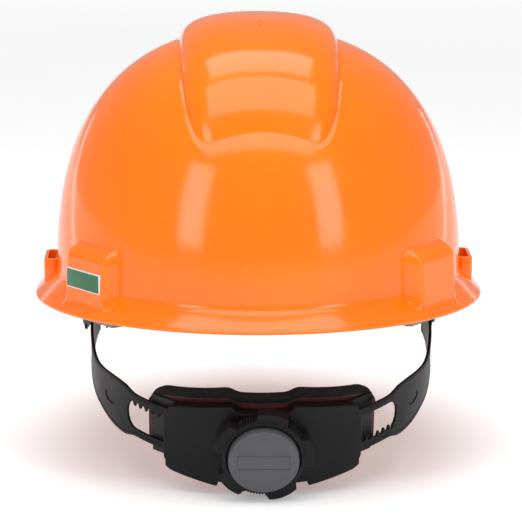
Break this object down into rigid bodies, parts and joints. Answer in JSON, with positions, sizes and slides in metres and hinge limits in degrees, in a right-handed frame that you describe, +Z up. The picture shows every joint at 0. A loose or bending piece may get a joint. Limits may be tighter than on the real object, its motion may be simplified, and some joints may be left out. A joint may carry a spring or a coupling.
{
  "type": "industrial safety helmet",
  "caption": "Safety helmet: brimmed cap shell with side accessory slots, webbing cradle, and a headband that a rear ratchet knob tightens.",
  "frame": {"origin": "middle of the shell in plan, at the level of the brim's side edges, where the wearer's head holds it", "axes": "+X to the wearer's right, +Y forward over the peak, +Z up through the crown"},
  "size_m": [0.2348, 0.2898, 0.2326],
  "materials": {
    "shell": "glossy orange moulded polyethylene",
    "rear_label": "satin green label with a pale border",
    "key_plastic": "matt grey moulding",
    "webbing": "woven polyester webbing",
    "black_plastic": "satin black moulding",
    "brow_cloth": "padded knit",
    "nape_pad": "dark red padded cloth with a black edge",
    "acetal": "satin white moulding",
    "knob_black": "satin black moulding",
    "knob_cap": "matt grey moulding",
    "screw_steel": "zinc plated"
  },
  "bodies": {
    "helmet": {"shell": "shell", "rear_label": "rear_label", "key_front_left": "key_plastic", "key_front_right": "key_plastic", "key_rear_left": "key_plastic", "key_rear_right": "key_plastic", "crown_strap_lower": "webbing", "crown_strap_upper": "webbing", "headband": "black_plastic", "sweatband": "brow_cloth"},
    "nape_unit": {"ratchet_cover": "black_plastic", "nape_plate": "black_plastic", "nape_pad": "nape_pad", "detent_ring": "acetal"},
    "left_arm": {"left_arm": "black_plastic"},
    "right_arm": {"right_arm": "black_plastic"},
    "knob": {"knob": "knob_black", "knob_cap": "knob_cap", "knob_screw": "screw_steel", "drive_gear": "acetal"}
  },
  "joints": [
    {"name": "nape_slide", "type": "slide", "parent": "helmet", "child": "nape_unit", "axis": [0, 0.9511, 0.309], "range_m": [-0.005, 0.017]},
    {"name": "left_arm_feed", "type": "hinge", "parent": "nape_unit", "child": "left_arm", "pos_m": [0, -0.01883, -0.03245], "axis": [0, -0.309, 0.9511], "range_deg": [-3.4, 11.4]},
    {"name": "right_arm_feed", "type": "hinge", "parent": "nape_unit", "child": "right_arm", "pos_m": [0, -0.01883, -0.03245], "axis": [0, 0.309, -0.9511], "range_deg": [-3.4, 11.4]},
    {"name": "knob_turn", "type": "hinge", "parent": "nape_unit", "child": "knob", "pos_m": [0, -0.103, -0.0598], "axis": [0, 0.9511, 0.309], "range_deg": [-45, 153]}
  ],
  "couplings": [
    {"joint": "knob_turn", "follows": "nape_slide", "rad_per_m": 156.3},
    {"joint": "left_arm_feed", "follows": "nape_slide", "rad_per_m": 11.429},
    {"joint": "right_arm_feed", "follows": "nape_slide", "rad_per_m": 11.173}
  ]
}
